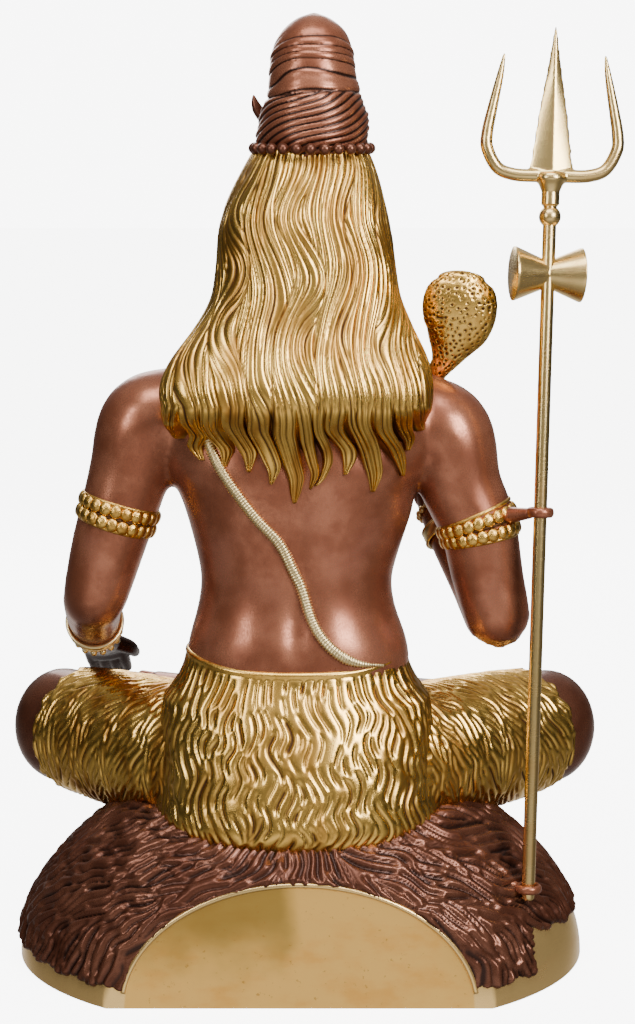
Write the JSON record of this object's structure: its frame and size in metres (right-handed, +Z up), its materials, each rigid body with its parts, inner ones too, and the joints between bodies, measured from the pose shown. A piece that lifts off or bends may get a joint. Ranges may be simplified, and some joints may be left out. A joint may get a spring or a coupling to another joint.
{
  "type": "shiva figure",
  "caption": "Seated cast brass Shiva on a fur-covered plinth, long hair down the back and a loose trident standing in rings at the arm and seat.",
  "frame": {"origin": "middle of the plinth's flat underside", "axes": "+Z up, the figure faces -Y, its left hand is on the +X side and the trident on the -X side"},
  "size_m": [0.5079, 0.3147, 0.762],
  "materials": {
    "brown_brass": "cast brass with a glossy brown patina",
    "polished_brass": "polished brass, darker in the grooves"
  },
  "bodies": {
    "root": {"statue": "brown_brass", "trident": "polished_brass"}
  },
  "joints": []
}
